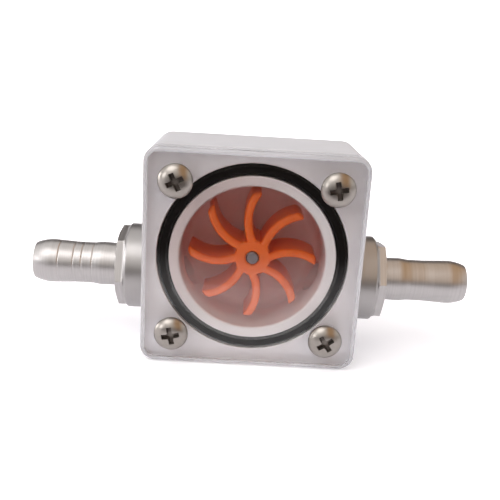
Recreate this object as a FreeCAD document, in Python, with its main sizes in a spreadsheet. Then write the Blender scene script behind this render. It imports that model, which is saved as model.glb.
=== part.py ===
import FreeCAD, Part
import math
import os
import Sketcher

# Water flow indicator: a bored block with a clear cover, a bladed wheel on a pin and two hose barbs.
# Millimetres. X runs along the hoses from inlet to outlet, Y from the clear cover to the back, Z up.
# The origin is the middle of the foot of the block and its cover.

SIZES = {
    # Chamber and block
    "chamber_diameter": 33.5,
    "chamber_depth": 15.0,
    "back_wall": 10.0,
    "corner_radius": 3.5,
    "back_edge_chamfer": 0.6,
    # Clear cover
    "cover_thickness": 5.0,
    "cover_edge_round": 0.8,
    # Seal groove round the chamber and the ring in it
    "land_width": 2.25,
    "groove_width": 3.0,
    "groove_depth": 2.0,
    "ring_side_gap": 0.15,
    # Cover screws
    "screw_diameter": 4.0,
    "screw_length": 14.0,
    "screw_web": 1.052,
    "screw_inset": 7.25,
    "screw_thread_gap": 0.05,
    "screw_cover_gap": 0.2,
    "screw_tap_runout": 2.0,
    "screw_tip_chamfer": 0.5,
    "head_diameter": 7.8,
    "head_height": 2.5,
    "head_rim": 0.8,
    "recess_span": 4.4,
    "recess_width": 1.1,
    "recess_depth": 1.6,
    # Water way
    "bore_diameter": 7.0,
    "port_drop": 6.8,
    "port_thread": 13.2,
    "port_thread_gap": 0.05,
    "port_web": 2.0,
    "port_runout": 0.5,
    # Flange of a fitting and the seal under it
    "flange_thickness": 5.15,
    "flange_chamfer": 0.6,
    "flange_rim": 1.2,
    "flange_setback": 0.5,
    "seal_land": 0.65,
    "seal_width": 1.9,
    "seal_depth": 1.2,
    "seal_side_gap": 0.1,
    # Hexagon and barbed hose tail
    "hex_flats": 17.0,
    "hex_length": 2.1,
    "hex_bevel": 0.25,
    "tail_length": 20.5,
    "nose_diameter": 8.8,
    "nose_length": 4.3,
    "crest_diameter": 10.6,
    "crest_land": 1.5,
    "barb_heel": 0.5,
    "step_diameter": 10.3,
    "step_length": 2.9,
    "root_diameter": 10.0,
    "root_length": 4.4,
    "collar_ramp": 1.9,
    # Axle and thrust washer
    "axle_diameter": 3.0,
    "axle_chamfer": 0.35,
    "axle_seat_gap": 0.02,
    "axle_floor": 3.0,
    "washer_diameter": 6.4,
    "washer_thickness": 0.8,
    # Wheel
    "wheel_front_gap": 0.5,
    "wheel_play": 0.2,
    "wheel_running_gap": 0.05,
    "hub_diameter": 7.8,
    "hub_mouth": 0.4,
    "hub_step": 1.2,
    "tip_clearance": 1.75,
    "blade_count": 8,
    "blade_thickness": 1.9,
    "blade_bend_radius": 10.5,
    "blade_bow": 1.4,
    "blade_bow_reach": 8.7,
    "blade_rake": 2.0,
    "blade_root_fillet": 0.5,
    "blade_root_flat": 0.2,
}

# Degrees: how each turned piece happens to stand
TURNS = {
    "inlet_turn": 21.0,
    "outlet_turn": 23.0,
    "wheel_turn": 0.0,
    "top_left_turn": 27.0,
    "top_right_turn": 12.0,
    "bottom_left_turn": 12.0,
    "bottom_right_turn": 34.0,
}

# Places that follow from the sizes
PLACES = {
    "chamber_radius": "Sizes.chamber_diameter / 2",
    "body_depth": "Sizes.chamber_depth + Sizes.back_wall",
    "joint_y": "(Sizes.cover_thickness - body_depth) / 2",
    "groove_inner": "chamber_radius + Sizes.land_width",
    "groove_outer": "groove_inner + Sizes.groove_width",
    "tapped_radius": "Sizes.screw_diameter / 2 + Sizes.screw_thread_gap",
    "screw_offset": "(groove_outer + Sizes.screw_web + tapped_radius) / sqrt(2)",
    "half_width": "screw_offset + Sizes.screw_inset",
    "tapped_depth": "Sizes.screw_length - Sizes.cover_thickness + Sizes.screw_tap_runout",
    "axle_radius": "Sizes.axle_diameter / 2",
    "axle_seat": "Sizes.back_wall - Sizes.axle_floor",
    "running_bore": "axle_radius + Sizes.wheel_running_gap",
    "spigot_radius": "Sizes.port_thread / 2 - Sizes.port_thread_gap",
    "socket_depth": "half_width - chamber_radius - Sizes.port_web",
    "seal_inner": "spigot_radius + Sizes.seal_land",
    "seal_outer": "seal_inner + Sizes.seal_width",
    "flange_radius": "seal_outer + Sizes.flange_rim",
    "port_setback": "flange_radius + Sizes.flange_setback",
    "hex_end": "Sizes.flange_thickness + Sizes.hex_length",
    "hex_corner": "Sizes.hex_flats / sqrt(3)",
    "tail_end": "hex_end + Sizes.tail_length",
    "nose_crest": "tail_end - Sizes.nose_length",
    "step_front": "nose_crest - Sizes.crest_land - Sizes.barb_heel",
    "step_back": "step_front - Sizes.step_length",
    "root_front": "step_back - Sizes.barb_heel",
    "root_back": "root_front - Sizes.root_length",
    "collar_crest": "root_back - Sizes.collar_ramp",
    "neck_front": "collar_crest - Sizes.crest_land - Sizes.barb_heel",
    "tip_radius": "chamber_radius - Sizes.tip_clearance",
    "hub_radius": "Sizes.hub_diameter / 2",
    "hub_length": "Sizes.chamber_depth - Sizes.wheel_front_gap - Sizes.wheel_play - Sizes.washer_thickness",
    "blade_width": "hub_length - Sizes.hub_step",
    "bend_drop": "Sizes.blade_bend_radius - Sizes.blade_bow",
    "bend_inner": "Sizes.blade_bend_radius - Sizes.blade_thickness / 2",
    "bend_outer": "Sizes.blade_bend_radius + Sizes.blade_thickness / 2",
}

doc = FreeCAD.newDocument("WaterFlowIndicator")


def fill_sheet(name, rows):
    """A spreadsheet with a name and a value in each row, the value's cell being known by that name."""
    sheet = doc.addObject("Spreadsheet::Sheet", name)
    for number, (alias, value) in enumerate(rows, start=1):
        sheet.set(f"A{number}", alias)
        sheet.set(f"B{number}", str(value))
        sheet.setAlias(f"B{number}", alias)
    doc.recompute()
    return sheet


sizes = fill_sheet("Sizes", [*SIZES.items(), *TURNS.items()])
places = fill_sheet("Places", [(alias, f"={formula}") for alias, formula in PLACES.items()])


def value(expression):
    """What an expression on the sheets comes to."""
    return float(sizes.evalExpression(expression))


UP = FreeCAD.Vector(0, 0, 1)
FRONT = FreeCAD.Vector(0, -1, 0)


def new_body(label, x="0", y="0", z="0", axis=None, turned="0"):
    """An empty body that stands at x, y, z, turned about one axis by some degrees."""
    body = doc.addObject("PartDesign::Body", label)
    body.Label = label
    for coordinate, place in zip("xyz", (x, y, z)):
        body.setExpression(f"Placement.Base.{coordinate}", place)
    if axis:
        body.Placement.Rotation = FreeCAD.Rotation(axis, value(turned))
        body.setExpression("Placement.Rotation.Angle", turned)
    return body


def own(body, role):
    """One of a body's own origin planes or axes."""
    return next(feature for feature in body.Origin.OriginFeatures if feature.Role == role)


def new_sketch(body, name, plane, lift="0"):
    """An empty sketch on one of the body's planes, lifted along that plane's normal."""
    sketch = body.newObject("Sketcher::SketchObject", name)
    sketch.AttachmentSupport = [(own(body, plane), "")]
    sketch.MapMode = "FlatFace"
    sketch.setExpression("AttachmentOffset.Base.z", lift)
    return sketch


def drive(sketch, name, expression, *constraint):
    """A named dimension in a sketch that follows an expression."""
    index = sketch.addConstraint(Sketcher.Constraint(*constraint, value(expression)))
    sketch.renameConstraint(index, name)
    sketch.setExpression(f"Constraints.{name}", expression)


# How a sketch numbers its own origin and the points of an edge
ORIGIN = (-1, 1)
START, END, CENTRE = 1, 2, 3


def add_circles(body, name, plane, circles, lift="0"):
    """A sketch of circles, each given as its radius and the two coordinates of its centre."""
    sketch = new_sketch(body, name, plane, lift)
    for number, (radius, across, along) in enumerate(circles):
        centre = FreeCAD.Vector(value(across), value(along), 0)
        circle = sketch.addGeometry(Part.Circle(centre, UP, value(radius)), False)
        drive(sketch, f"radius_{number}", radius, "Radius", circle)
        drive(sketch, f"across_{number}", across, "DistanceX", *ORIGIN, circle, CENTRE)
        drive(sketch, f"along_{number}", along, "DistanceY", *ORIGIN, circle, CENTRE)
    return sketch


def arc_between(first, last, centre_x):
    """The arc from first round to last, counter-clockwise, whose centre has the given x."""
    gap = last - first
    middle = (first + last) / 2
    centre_y = middle.y - (centre_x - middle.x) * gap.x / gap.y
    centre = FreeCAD.Vector(centre_x, centre_y, 0)
    angles = [math.atan2(point.y - centre.y, point.x - centre.x) for point in (first, last)]
    return Part.ArcOfCircle(Part.Circle(centre, UP, (first - centre).Length), *angles)


def add_outline(body, name, plane, corners, bulges=None, lift="0"):
    """A closed outline through corners. bulges gives, for a run that is an arc, the x of its centre."""
    sketch = new_sketch(body, name, plane, lift)
    points = [FreeCAD.Vector(value(across), value(along), 0) for across, along in corners]
    bulges = bulges or {}
    runs = []
    for number, first in enumerate(points):
        last = points[(number + 1) % len(points)]
        if number in bulges:
            shape = arc_between(first, last, value(bulges[number]))
        else:
            shape = Part.LineSegment(first, last)
        runs.append(sketch.addGeometry(shape, False))
    for number, run in enumerate(runs):
        across, along = corners[number]
        sketch.addConstraint(Sketcher.Constraint("Coincident", runs[number - 1], END, run, START))
        drive(sketch, f"across_{number}", across, "DistanceX", *ORIGIN, run, START)
        drive(sketch, f"along_{number}", along, "DistanceY", *ORIGIN, run, START)
        if number in bulges:
            drive(sketch, f"centre_{number}", bulges[number], "DistanceX", *ORIGIN, run, CENTRE)
    return sketch


def extrude(body, kind, name, sketch, length, reverse=False, both_ways=False):
    """A pad or a pocket of a given length."""
    feature = body.newObject(f"PartDesign::{kind}", name)
    feature.Profile = sketch
    feature.setExpression("Length", length)
    feature.Reversed = reverse
    if both_ways:
        feature.SideType = "Symmetric"
    doc.recompute()
    return feature


def turn(body, kind, name, sketch, axis):
    """A full revolution or groove about an axis of its sketch."""
    feature = body.newObject(f"PartDesign::{kind}", name)
    feature.Profile = sketch
    feature.ReferenceAxis = (sketch, [axis])
    feature.Angle = 360
    doc.recompute()
    return feature


def ease(body, kind, name, size, chosen):
    """A fillet or a chamfer on the edges of the body's tip that the test picks out."""
    base = body.Tip
    edges = [f"Edge{n}" for n, edge in enumerate(base.Shape.Edges, start=1) if chosen(edge)]
    feature = body.newObject(f"PartDesign::{kind}", name)
    feature.Base = (base, edges)
    feature.setExpression("Radius" if kind == "Fillet" else "Size", size)
    doc.recompute()
    return feature


NEAR = 1e-4


def along_y(edge):
    """True for a straight edge that runs front to back."""
    if not isinstance(edge.Curve, Part.Line):
        return False
    return abs(abs(edge.tangentAt(edge.FirstParameter).y) - 1) < NEAR


def from_axis(edge):
    """How far the middle of an edge lies from the front-to-back axis."""
    middle = edge.valueAt((edge.FirstParameter + edge.LastParameter) / 2)
    return math.hypot(middle.x, middle.z)


def rim_at(depth):
    """A test for the edges of a square face at one depth, its round corners among them."""
    place = value(depth)
    reach = value("Places.half_width - Sizes.corner_radius / 2")

    def chosen(edge):
        box = edge.BoundBox
        flat = abs(box.YMin - place) < NEAR and abs(box.YMax - place) < NEAR
        return flat and max(abs(box.XMin), abs(box.XMax), abs(box.ZMin), abs(box.ZMax)) > reach
    return chosen


# Screw places, seen from the front
SCREWS = {
    "top_left": (-1, 1),
    "top_right": (1, 1),
    "bottom_left": (-1, -1),
    "bottom_right": (1, -1),
}


def screw_circles(radius):
    """A circle of one radius at each screw."""
    return [(radius, f"{side} * Places.screw_offset", f"{level} * Places.screw_offset")
            for side, level in SCREWS.values()]


def add_rectangle(body, name, plane, half_across, half_along, lift="0"):
    """A rectangle about the middle of its plane."""
    corners = [(f"-({half_across})", f"-({half_along})"), (half_across, f"-({half_along})"),
               (half_across, half_along), (f"-({half_across})", half_along)]
    return add_outline(body, name, plane, corners, lift=lift)


def square_plate(body, depth, backwards):
    """A square pad of the housing's outline with round corners, from the joint face to a depth."""
    outline = add_rectangle(body, "outline", "XZ_Plane", "Places.half_width", "Places.half_width")
    extrude(body, "Pad", "plate", outline, depth, reverse=backwards)
    ease(body, "Fillet", "corners", "Sizes.corner_radius", along_y)


def make_body_block():
    """The bored block: chamber, seal groove, tapped holes, axle seat and a threaded port in each side."""
    body = new_body("body_block", y="Places.joint_y", z="Places.half_width")
    square_plate(body, "Places.body_depth", True)
    ease(body, "Chamfer", "back_edge", "Sizes.back_edge_chamfer", rim_at("Places.body_depth"))
    chamber = add_circles(body, "chamber_circle", "XZ_Plane", [("Places.chamber_radius", "0", "0")])
    extrude(body, "Pocket", "chamber", chamber, "Sizes.chamber_depth")
    ring = [("Places.groove_inner", "0", "0"), ("Places.groove_outer", "0", "0")]
    groove = add_circles(body, "groove_circles", "XZ_Plane", ring)
    extrude(body, "Pocket", "seal_groove", groove, "Sizes.groove_depth")
    tapped = add_circles(body, "tapped_circles", "XZ_Plane", screw_circles("Places.tapped_radius"))
    extrude(body, "Pocket", "tapped_holes", tapped, "Places.tapped_depth")
    hole = "Places.axle_radius + Sizes.axle_seat_gap"
    seat = add_circles(body, "axle_circle", "XZ_Plane", [(hole, "0", "0")])
    extrude(body, "Pocket", "axle_seat", seat, "Sizes.chamber_depth + Places.axle_seat")
    way = add_circles(body, "water_circle", "YZ_Plane",
                      [("Sizes.bore_diameter / 2", "Places.port_setback", "-Sizes.port_drop")])
    extrude(body, "Pocket", "water_way", way, "2 * Places.half_width", both_ways=True)
    socket = add_circles(body, "socket_circle", "YZ_Plane",
                         [("Sizes.port_thread / 2", "Places.port_setback", "-Sizes.port_drop")],
                         lift="Places.half_width")
    outlet = extrude(body, "Pocket", "outlet_socket", socket, "Places.socket_depth")
    inlet = body.newObject("PartDesign::Mirrored", "inlet_socket")
    inlet.Originals = [outlet]
    inlet.MirrorPlane = (own(body, "YZ_Plane"), [""])
    body.Tip = inlet
    return body


def make_front_cover():
    """The clear plate, with a clearance hole for each screw and an eased front edge."""
    body = new_body("front_cover", y="Places.joint_y", z="Places.half_width")
    square_plate(body, "Sizes.cover_thickness", False)
    ease(body, "Fillet", "front_edge", "Sizes.cover_edge_round", rim_at("-Sizes.cover_thickness"))
    holes = screw_circles("Sizes.screw_diameter / 2 + Sizes.screw_cover_gap")
    circles = add_circles(body, "hole_circles", "XZ_Plane", holes)
    extrude(body, "Pocket", "screw_holes", circles, "Sizes.cover_thickness", reverse=True)
    return body


def make_seal_ring(body, inner, outer, height):
    """A rubber ring squeezed between two flat faces: flat front and back, half-round inside and out."""
    low = f"{inner} + ({height}) / 2"
    high = f"{outer} - ({height}) / 2"
    corners = [(low, "0"), (high, "0"), (high, height), (low, height)]
    section = add_outline(body, "section", "XY_Plane", corners, bulges={1: high, 3: low})
    turn(body, "Revolution", "ring", section, "V_Axis")
    return body


def make_cover_seal_ring():
    """The ring in the groove round the chamber."""
    body = new_body("cover_seal_ring", y="Places.joint_y", z="Places.half_width")
    inner = "Places.groove_inner + Sizes.ring_side_gap"
    outer = "Places.groove_outer - Sizes.ring_side_gap"
    return make_seal_ring(body, inner, outer, "Sizes.groove_depth")


def make_cover_screw(corner):
    """A pan-head screw with a cross recess, its head on the cover's face."""
    side, level = SCREWS[corner]
    body = new_body(f"cover_screw_{corner}", x=f"{side} * Places.screw_offset",
                    y="Places.joint_y - Sizes.cover_thickness",
                    z=f"Places.half_width + {level} * Places.screw_offset",
                    axis=FRONT, turned=f"Sizes.{corner}_turn")
    shank = "Sizes.screw_diameter / 2"
    corners = [("0", "-Sizes.head_height"), ("Sizes.head_diameter / 2", "-Sizes.head_rim"),
               ("Sizes.head_diameter / 2", "0"), (shank, "0"),
               (shank, "Sizes.screw_length - Sizes.screw_tip_chamfer"),
               (f"{shank} - Sizes.screw_tip_chamfer", "Sizes.screw_length"), ("0", "Sizes.screw_length")]
    profile = add_outline(body, "profile", "XY_Plane", corners, bulges={0: "0"})
    turn(body, "Revolution", "screw", profile, "V_Axis")
    span, width = "Sizes.recess_span / 2", "Sizes.recess_width / 2"
    for name, across, along in (("flat_slot", span, width), ("upright_slot", width, span)):
        slot = add_rectangle(body, f"{name}_outline", "XZ_Plane", across, along, lift="Sizes.head_height")
        extrude(body, "Pocket", name, slot, "Sizes.recess_depth")
    return body


def make_axle_pin():
    """The steel pin, pressed into the chamber floor, its other end level with the wheel's face."""
    body = new_body("axle_pin", y="Places.joint_y + Sizes.wheel_front_gap", z="Places.half_width")
    circle = add_circles(body, "circle", "XZ_Plane", [("Places.axle_radius", "0", "0")])
    length = "Sizes.chamber_depth - Sizes.wheel_front_gap + Places.axle_seat"
    extrude(body, "Pad", "pin", circle, length, reverse=True)
    ease(body, "Chamfer", "ends", "Sizes.axle_chamfer", lambda edge: isinstance(edge.Curve, Part.Circle))
    return body


def make_thrust_washer():
    """The plain washer between the wheel's hub and the chamber floor."""
    body = new_body("thrust_washer", y="Places.joint_y + Sizes.chamber_depth - Sizes.washer_thickness",
                    z="Places.half_width")
    circles = [("Sizes.washer_diameter / 2", "0", "0"), ("Places.running_bore", "0", "0")]
    ring = add_circles(body, "circles", "XZ_Plane", circles)
    extrude(body, "Pad", "washer", ring, "Sizes.washer_thickness", reverse=True)
    return body


def point_at_reach(centre, radius, reach):
    """The right-hand point of a circle about centre that lies at a given reach from the origin."""
    distance = centre.Length
    toward = FreeCAD.Vector(centre).normalize()
    along = (reach ** 2 - radius ** 2 + distance ** 2) / (2 * distance)
    aside = math.sqrt(reach ** 2 - along ** 2)
    return toward * along + FreeCAD.Vector(-toward.y, toward.x, 0) * aside


def point_at_x(centre, radius, x):
    """The upper point of a circle about centre at a given x."""
    return FreeCAD.Vector(x, centre.y + math.sqrt(radius ** 2 - (x - centre.x) ** 2), 0)


def add_blade_outline(body):
    """One blade seen from the front: two arcs about one centre, from inside the hub to the tip circle."""
    sketch = new_sketch(body, "blade_outline", "XZ_Plane")
    reach, root = "Places.tip_radius", "Places.hub_radius / 2"
    tips = sketch.addGeometry(Part.Circle(FreeCAD.Vector(0, 0, 0), UP, value(reach)), True)
    sketch.addConstraint(Sketcher.Constraint("Coincident", tips, CENTRE, *ORIGIN))
    drive(sketch, "tip_reach", reach, "Radius", tips)
    centre = FreeCAD.Vector(value("Sizes.blade_bow_reach"), value("-Places.bend_drop"), 0)
    faces = []
    for name, bend in (("inner", "Places.bend_inner"), ("outer", "Places.bend_outer")):
        radius = value(bend)
        ends = [point_at_reach(centre, radius, value(reach)), point_at_x(centre, radius, value(root))]
        angles = [math.atan2(end.y - centre.y, end.x - centre.x) for end in ends]
        arc = sketch.addGeometry(Part.ArcOfCircle(Part.Circle(centre, UP, radius), *angles), False)
        drive(sketch, f"{name}_bend", bend, "Radius", arc)
        drive(sketch, f"{name}_reach", "Sizes.blade_bow_reach", "DistanceX", *ORIGIN, arc, CENTRE)
        drive(sketch, f"{name}_drop", "-Places.bend_drop", "DistanceY", *ORIGIN, arc, CENTRE)
        drive(sketch, f"{name}_root", root, "DistanceX", *ORIGIN, arc, END)
        sketch.addConstraint(Sketcher.Constraint("PointOnObject", arc, START, tips))
        faces.append((arc, ends))
    (inner, inner_ends), (outer, outer_ends) = faces
    for place, first, last in zip((START, END), inner_ends, outer_ends):
        edge = sketch.addGeometry(Part.LineSegment(first, last), False)
        sketch.addConstraint(Sketcher.Constraint("Coincident", edge, START, inner, place))
        sketch.addConstraint(Sketcher.Constraint("Coincident", edge, END, outer, place))
    return sketch


def make_impeller_wheel():
    """The moulded wheel: a hub, curved blades with a fillet at each root, and a bore with eased mouths."""
    body = new_body("impeller_wheel", y="Places.joint_y + Sizes.wheel_front_gap", z="Places.half_width",
                    axis=FRONT, turned="Sizes.wheel_turn")
    circle = add_circles(body, "hub_circle", "XZ_Plane", [("Places.hub_radius", "0", "0")])
    extrude(body, "Pad", "hub", circle, "Places.hub_length", reverse=True)
    blade = extrude(body, "Pad", "blade", add_blade_outline(body), "Places.blade_width", reverse=True)
    blades = body.newObject("PartDesign::PolarPattern", "blades")
    blades.Originals = [blade]
    blades.Axis = (own(body, "Y_Axis"), [""])
    blades.Angle = 360
    blades.setExpression("Occurrences", "Sizes.blade_count")
    body.Tip = blades
    doc.recompute()
    hub_radius, blade_width = value("Places.hub_radius"), value("Places.blade_width")

    def at_root(edge):
        full_width = along_y(edge) and abs(edge.Length - blade_width) < NEAR
        return full_width and abs(from_axis(edge) - hub_radius) < NEAR
    room = "2 * pi * Places.hub_radius / Sizes.blade_count - Sizes.blade_thickness"
    largest = f"({room} - Sizes.blade_root_flat) / 2"
    ease(body, "Fillet", "blade_roots", f"min(Sizes.blade_root_fillet; {largest})", at_root)
    beyond = "Places.chamber_radius"
    corners = [("Places.hub_radius", "0"), (beyond, "0"), (beyond, "Sizes.blade_rake")]
    turn(body, "Groove", "front_rake", add_outline(body, "rake", "XY_Plane", corners), "V_Axis")
    bore = add_circles(body, "bore_circle", "XZ_Plane", [("Places.running_bore", "0", "0")])
    extrude(body, "Pocket", "bore", bore, "Places.hub_length")
    bore_radius = value("Places.running_bore")
    ease(body, "Chamfer", "bore_mouths", "Sizes.hub_mouth",
         lambda edge: isinstance(edge.Curve, Part.Circle) and abs(edge.Curve.Radius - bore_radius) < NEAR)
    return body


# Each fitting points away from the block along its own x axis
SIDES = {
    "inlet": (-1, 180),
    "outlet": (1, 0),
}


def make_fitting(name):
    """A turned fitting: threaded spigot, flange with a seal groove, hexagon and a barbed hose tail."""
    side, heading = SIDES[name]
    body = new_body(f"{name}_fitting", x=f"{side} * Places.half_width",
                    y="Places.joint_y + Places.port_setback", z="Places.half_width - Sizes.port_drop",
                    axis=UP, turned=str(heading))
    spigot_end = "-(Places.socket_depth - Sizes.port_runout)"
    nose, crest = "Sizes.nose_diameter / 2", "Sizes.crest_diameter / 2"
    step, root = "Sizes.step_diameter / 2", "Sizes.root_diameter / 2"
    corners = [(spigot_end, "0"), ("Places.tail_end", "0"), ("Places.tail_end", nose),
               ("Places.nose_crest", crest), ("Places.nose_crest - Sizes.crest_land", crest),
               ("Places.step_front", step), ("Places.step_back", step),
               ("Places.root_front", root), ("Places.root_back", root),
               ("Places.collar_crest", crest), ("Places.collar_crest - Sizes.crest_land", crest),
               ("Places.neck_front", step), ("Sizes.flange_thickness", step),
               ("Sizes.flange_thickness", "Places.flange_radius - Sizes.flange_chamfer"),
               ("Sizes.flange_thickness - Sizes.flange_chamfer", "Places.flange_radius"),
               ("0", "Places.flange_radius"), ("0", "Places.seal_outer"),
               ("Sizes.seal_depth", "Places.seal_outer"), ("Sizes.seal_depth", "Places.seal_inner"),
               ("0", "Places.seal_inner"), ("0", "Places.spigot_radius"),
               (spigot_end, "Places.spigot_radius")]
    profile = add_outline(body, "profile", "XY_Plane", corners, bulges={2: "Places.nose_crest"})
    turn(body, "Revolution", "stem", profile, "H_Axis")

    flat, half_side, corner = "Sizes.hex_flats / 2", "Places.hex_corner / 2", "Places.hex_corner"
    corners = [(flat, half_side), ("0", corner), (f"-{flat}", half_side),
               (f"-{flat}", f"-{half_side}"), ("0", f"-{corner}"), (flat, f"-{half_side}")]
    hexagon = add_outline(body, "hexagon", "YZ_Plane", corners, lift="Sizes.flange_thickness")
    hexagon.setExpression("AttachmentOffset.Rotation.Angle", f"Sizes.{name}_turn")
    extrude(body, "Pad", "hex", hexagon, "Sizes.hex_length")
    clear = f"2 * {corner} - {flat}"
    corners = [("Places.hex_end", flat), ("Places.hex_end", clear),
               ("Places.hex_end - 2 * Sizes.hex_bevel", clear)]
    turn(body, "Groove", "hex_bevel", add_outline(body, "bevel", "XY_Plane", corners), "H_Axis")

    bore = add_circles(body, "bore_circle", "YZ_Plane", [("Sizes.bore_diameter / 2", "0", "0")])
    extrude(body, "Pocket", "bore", bore, "2 * Places.tail_end", both_ways=True)
    return body


def make_port_seal_ring(name):
    """The ring in a fitting's flange, squeezed against the block's side."""
    side, _ = SIDES[name]
    body = new_body(f"{name}_seal_ring", x=f"{side} * Places.half_width",
                    y="Places.joint_y + Places.port_setback", z="Places.half_width - Sizes.port_drop",
                    axis=UP, turned=str(-90 * side))
    inner = "Places.seal_inner + Sizes.seal_side_gap"
    outer = "Places.seal_outer - Sizes.seal_side_gap"
    return make_seal_ring(body, inner, outer, "Sizes.seal_depth")


pieces = [make_body_block(), make_front_cover(), make_cover_seal_ring(), make_axle_pin(),
          make_thrust_washer(), make_impeller_wheel()]
pieces += [make_cover_screw(corner) for corner in SCREWS]
pieces += [make_fitting(name) for name in SIDES]
pieces += [make_port_seal_ring(name) for name in SIDES]
doc.recompute()

for feature in doc.Objects:
    if "Invalid" in feature.State or "Error" in feature.State:
        raise RuntimeError(f"{feature.Name} failed: {feature.State}")
for piece in pieces:
    if piece.Shape.isNull() or not piece.Shape.isValid() or len(piece.Shape.Solids) != 1:
        raise RuntimeError(f"{piece.Label} is not one sound solid")

os.makedirs("parts", exist_ok=True)
for piece in pieces:
    piece.Shape.exportStep(f"parts/{piece.Label}.step")
    box = piece.Shape.BoundBox
    print(f"{piece.Label}: {piece.Shape.Volume:.1f} mm3, x {box.XMin:.2f} to {box.XMax:.2f}, "
          f"y {box.YMin:.2f} to {box.YMax:.2f}, z {box.ZMin:.2f} to {box.ZMax:.2f}")
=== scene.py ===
"""Water flow indicator: the dressed model over its CAD frame, with a floor, lights and the camera."""
import math

import bmesh
import bpy
import numpy as np
from mathutils import Matrix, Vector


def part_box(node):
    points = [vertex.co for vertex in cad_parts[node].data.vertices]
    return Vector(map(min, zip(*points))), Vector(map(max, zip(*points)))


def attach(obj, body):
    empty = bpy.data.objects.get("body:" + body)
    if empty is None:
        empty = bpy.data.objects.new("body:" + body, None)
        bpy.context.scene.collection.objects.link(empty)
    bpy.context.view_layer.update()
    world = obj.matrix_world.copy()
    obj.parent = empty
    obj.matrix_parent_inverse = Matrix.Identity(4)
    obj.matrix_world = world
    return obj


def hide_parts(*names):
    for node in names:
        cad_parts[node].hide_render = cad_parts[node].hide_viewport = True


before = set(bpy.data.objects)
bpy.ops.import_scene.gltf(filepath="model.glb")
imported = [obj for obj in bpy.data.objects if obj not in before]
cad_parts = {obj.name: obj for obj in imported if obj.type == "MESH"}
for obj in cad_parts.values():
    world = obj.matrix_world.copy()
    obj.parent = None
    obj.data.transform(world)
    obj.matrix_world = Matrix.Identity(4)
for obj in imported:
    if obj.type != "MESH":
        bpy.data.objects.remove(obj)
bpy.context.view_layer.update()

# Housing block: square aluminium bar, bored out for the wheel, grooved for the cover's seal and tapped
# for the screws and both ports. Blasted to an even satin and clear anodised; its joint face, land and
# chamber are left bare, as they were machined.
MM = 0.001


def box_mm(name):
    """The lowest and the highest corner of a CAD node, in millimetres."""
    return [np.array(corner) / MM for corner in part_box(name)]


block_low, block_high = box_mm("body_block")
fitting_low, fitting_high = box_mm("outlet_fitting")
joint_y, back_y = block_low[1], block_high[1]
half_width = block_high[0]
centre_z = (block_low[2] + block_high[2]) / 2
port_y, port_z = (fitting_low[1:] + fitting_high[1:]) / 2
joint_overlap = 0.02
corner_radius = 3.5
chamber_radius, chamber_floor = 16.75, 5.0
floor_fillet, mouth_round = 2.5, 0.6
groove_inner, groove_outer, groove_floor = 19.2, 22.0, -8.0
groove_rounds = [0.2, 0.3, 0.3, 0.25]
pin_seat_radius, pin_seat_end, pin_seat_round = 1.52, 12.0, 0.1
face_break = 0.05
back_chamfer, chamfer_round = 0.6, 0.12
port_bore = 3.5
port_socket, port_socket_depth = 6.6, 6.25
screw_offset = 17.75
tapped_radius, tapped_end = 2.05, 1.0
overshoot = 1.0


def eased(profile, radius, steps=4):
    """A polyline whose inner corners are rounded: each is cut back along both of its runs by the
    radius, or by less where a run is short, and a parabola joins the cuts. A point just outside each
    cut keeps the flat beside it flat when it is shaded."""
    most, hold = 0.4, 1.15
    profile = np.array(profile, dtype=float)
    corner = profile[1:-1]
    back, ahead = profile[:-2] - corner, profile[2:] - corner
    back_run, ahead_run = (np.linalg.norm(run, axis=1, keepdims=True) for run in (back, ahead))
    cut = np.minimum(np.broadcast_to(radius, len(corner))[:, None],
                     most * np.minimum(back_run, ahead_run))
    start, end = corner + back / back_run * cut, corner + ahead / ahead_run * cut
    t = np.linspace(0, 1, steps + 1)[None, :, None]
    curve = (1 - t) ** 2 * start[:, None] + 2 * t * (1 - t) * corner[:, None] + t ** 2 * end[:, None]
    before, after = corner + hold * (start - corner), corner + hold * (end - corner)
    rounded = np.concatenate([before[:, None], curve, after[:, None]], axis=1)
    return np.concatenate([profile[:1], rounded.reshape(-1, 2), profile[-1:]])


def square_loop(half, radius, along=14, around=7):
    """The x and z of points round a square with round corners: one side with half of each of its two
    corners, turned to all four sides."""
    arc = np.linspace(0, math.pi / 4, around)
    flat = np.linspace(-1, 1, along)[1:-1] * (half - radius)
    corner = half - radius + radius * np.exp(1j * arc) + 1j * (half - radius)
    side = np.concatenate([corner.conj()[::-1][:-1], half + 1j * np.array([radius - half]),
                           half + 1j * flat, corner[:-1]])
    loop = (side[None, :] * 1j ** np.arange(4)[:, None]).ravel()
    return np.stack([loop.real, loop.imag], axis=-1)


def around_y(profile, columns=128, centre=(0.0, centre_z), angle=None):
    """A profile of radius and y carried once round a front-to-back axis through centre's x and z."""
    if angle is None:
        angle = np.linspace(0, 2 * math.pi, columns, endpoint=False)
    radius, y = np.array(profile, dtype=float).T[:, :, None]
    return np.stack([centre[0] + radius * np.cos(angle), y + 0 * angle,
                     centre[1] + radius * np.sin(angle)], axis=-1)


def square_rows(profile, half, radius):
    """A profile of inset and y carried round the square outline, each row shrunk by its inset."""
    rows = []
    for inset, y in profile:
        loop = square_loop(half - inset, radius - inset)
        rows.append(np.stack([loop[:, 0], np.full(len(loop), y), loop[:, 1] + centre_z], axis=-1))
    return np.array(rows)


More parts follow.
